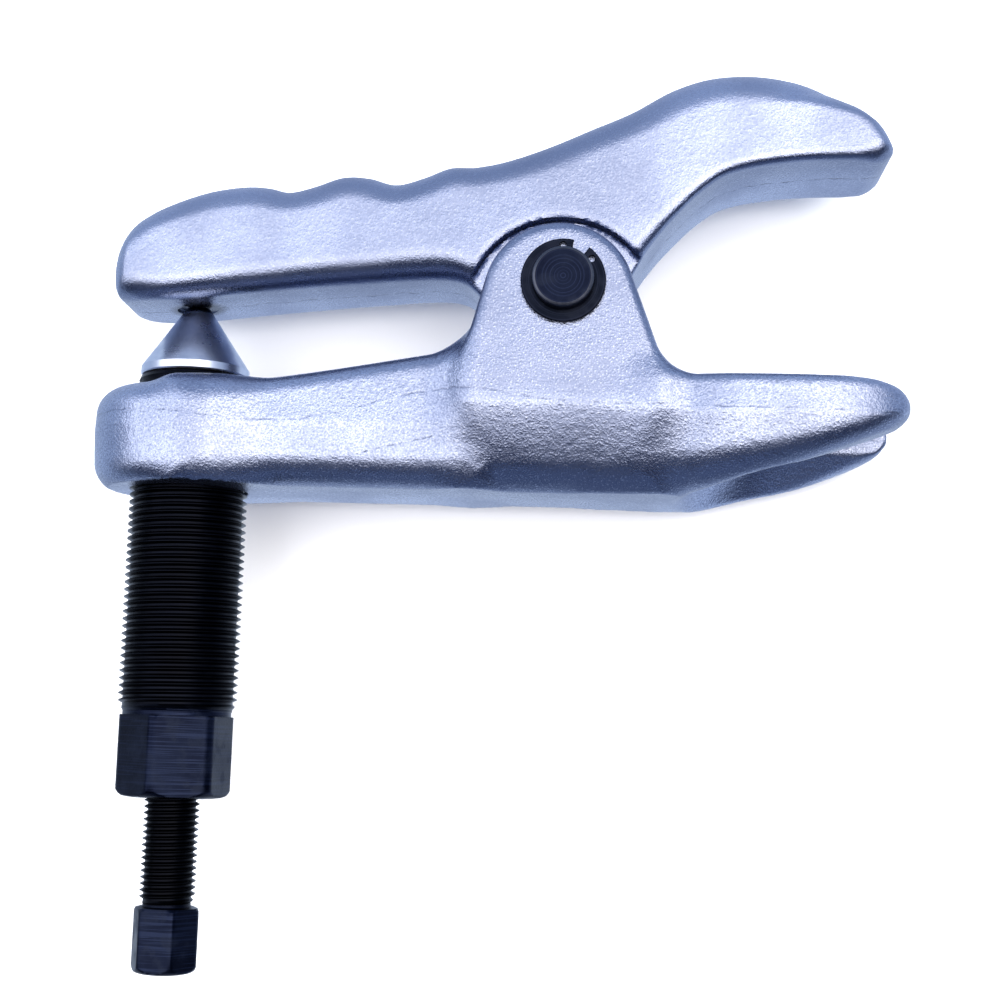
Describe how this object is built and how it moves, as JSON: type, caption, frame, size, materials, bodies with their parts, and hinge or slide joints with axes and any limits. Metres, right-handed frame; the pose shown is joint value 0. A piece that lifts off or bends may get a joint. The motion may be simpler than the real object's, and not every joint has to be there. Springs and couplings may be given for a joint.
{
  "type": "ball joint separator",
  "caption": "Lever-type separator: a forked arm, a swinging lever with a pressing nose, a hollow adjuster and a forcing screw with a cone.",
  "frame": {"origin": "on the axis of the fork's round throat, at the flat top of the tines, half way through the tool", "axes": "+X from the screw towards the fork tips, +Y along the forcing screw from its hex to the cone, +Z along the pivot pin; the tool lies on its side"},
  "size_m": [0.1658, 0.1853, 0.053],
  "materials": {
    "forging": "satin plated, shot-blasted texture",
    "black_oxide": "black oxide, light oil",
    "spring_steel": "phosphated",
    "ground_steel": "turned and hardened"
  },
  "bodies": {
    "arm": {"fork_arm": "forging"},
    "lever": {"lever_arm": "forging"},
    "pivot": {"pivot_pin": "black_oxide", "retaining_ring_front": "spring_steel", "retaining_ring_rear": "spring_steel"},
    "adjuster": {"adjuster_screw": "black_oxide"},
    "cone": {"pressure_cone": "ground_steel", "thrust_ball": "ground_steel", "cone_wire_ring": "spring_steel"},
    "screw": {"forcing_screw": "black_oxide"}
  },
  "joints": [
    {"name": "lever_swing", "type": "hinge", "parent": "arm", "child": "lever", "pos_m": [-0.0455, 0.0185, 0], "axis": [0, 0, 1], "range_deg": [-16, 0]},
    {"name": "pin_spin", "type": "hinge", "parent": "arm", "child": "pivot", "pos_m": [-0.0455, 0.0185, 0], "axis": [0, 0, 1], "continuous": true},
    {"name": "adjuster_travel", "type": "slide", "parent": "arm", "child": "adjuster", "axis": [0, 1, 0], "range_m": [-0.012, 0]},
    {"name": "forcing_travel", "type": "slide", "parent": "adjuster", "child": "cone", "axis": [0, 1, 0], "range_m": [0, 0.02]},
    {"name": "forcing_turn", "type": "hinge", "parent": "cone", "child": "screw", "pos_m": [-0.1222, -0.06, 0], "axis": [0, 1, 0], "range_deg": [0, 5700]}
  ],
  "couplings": [
    {"joint": "lever_swing", "follows": "forcing_travel", "rad_per_m": -13.61},
    {"joint": "forcing_turn", "follows": "forcing_travel", "rad_per_m": 4947.4}
  ]
}
